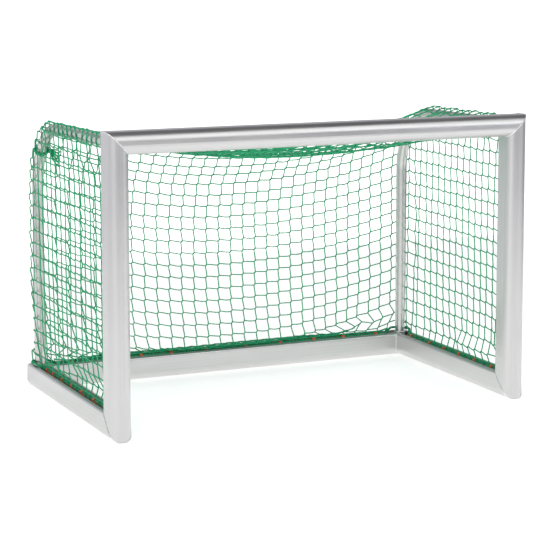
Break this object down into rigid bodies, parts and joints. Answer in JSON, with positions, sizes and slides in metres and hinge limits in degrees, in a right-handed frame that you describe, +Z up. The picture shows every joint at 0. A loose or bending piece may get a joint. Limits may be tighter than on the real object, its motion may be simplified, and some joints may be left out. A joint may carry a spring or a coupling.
{
  "type": "soccer goal",
  "caption": "Small portable soccer goal: a welded aluminium frame of grooved oval section with bent rear brackets and a green net hung on clips in its grooves.",
  "frame": {"origin": "on the floor, in the middle of the frame's footprint", "axes": "+X to the right seen from the front, +Y to the back of the goal, +Z up"},
  "size_m": [1.3344, 0.7794, 0.8672],
  "materials": {
    "extrusion": "satin",
    "bracket_tube": "satin",
    "weld_bead": "satin",
    "strip": "matte",
    "hook": "matte",
    "cord": "matte",
    "netting": "matte",
    "tie": "matte"
  },
  "bodies": {
    "root": {"border_cord": "cord", "crossbar": "extrusion", "crossbar_net_hooks": "hook", "crossbar_net_strip": "strip", "left_bracket_tie": "tie", "left_bracket_welds": "weld_bead", "left_foot_weld": "weld_bead", "left_ground_rail": "extrusion", "left_net_bracket": "bracket_tube", "left_post": "extrusion", "left_post_net_hooks": "hook", "left_post_net_strip": "strip", "left_rail_net_hooks": "hook", "left_rail_net_strip": "strip", "left_rear_corner_weld": "weld_bead", "left_top_corner_weld": "weld_bead", "net_back": "netting", "net_left_side": "netting", "net_right_side": "netting", "net_roof": "netting", "rear_ground_rail": "extrusion", "rear_rail_net_hooks": "hook", "rear_rail_net_strip": "strip", "right_bracket_welds": "weld_bead", "right_foot_weld": "weld_bead", "right_ground_rail": "extrusion", "right_net_bracket": "bracket_tube", "right_post": "extrusion", "right_post_net_hooks": "hook", "right_post_net_strip": "strip", "right_rail_net_hooks": "hook", "right_rail_net_strip": "strip", "right_rear_corner_weld": "weld_bead", "right_top_corner_weld": "weld_bead"}
  },
  "joints": []
}
